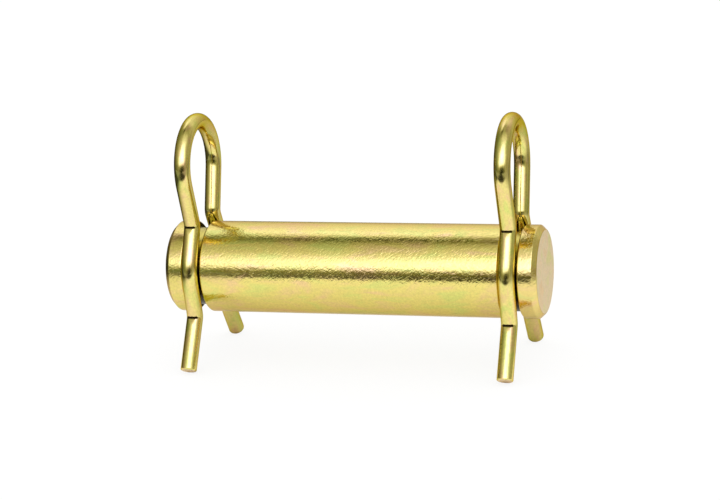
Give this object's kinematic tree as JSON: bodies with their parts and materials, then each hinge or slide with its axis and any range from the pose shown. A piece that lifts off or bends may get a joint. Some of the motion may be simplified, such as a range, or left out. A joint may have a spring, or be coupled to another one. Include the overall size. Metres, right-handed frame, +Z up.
{
  "type": "hydraulic cylinder pin",
  "caption": "Turned cylinder pin with a groove near each end, held by round-wire spring clips with eye loops and flared tips.",
  "frame": {"origin": "middle of the grip shank, on the pin's axis", "axes": "+X along the pin, +Z up through the eye loops of the clips, +Y across the pin to the rear legs"},
  "size_m": [0.105, 0.0432, 0.0691],
  "materials": {
    "pin_zinc": "turned steel, yellow zinc passivate, satin",
    "clip_zinc": "cold drawn spring wire, yellow zinc passivate, glossy"
  },
  "bodies": {
    "pin": {"pin": "pin_zinc"},
    "left_clip": {"left_clip": "clip_zinc"},
    "right_clip": {"right_clip": "clip_zinc"}
  },
  "joints": [
    {"name": "left_clip_swivel", "type": "hinge", "parent": "pin", "child": "left_clip", "pos_m": [-0.0447, 0, 0], "axis": [1, 0, 0], "continuous": true},
    {"name": "right_clip_pull", "type": "slide", "parent": "pin", "child": "right_clip", "axis": [0, 0, 1], "range_m": [0, 0.045], "deforming": ["right_clip"]}
  ]
}
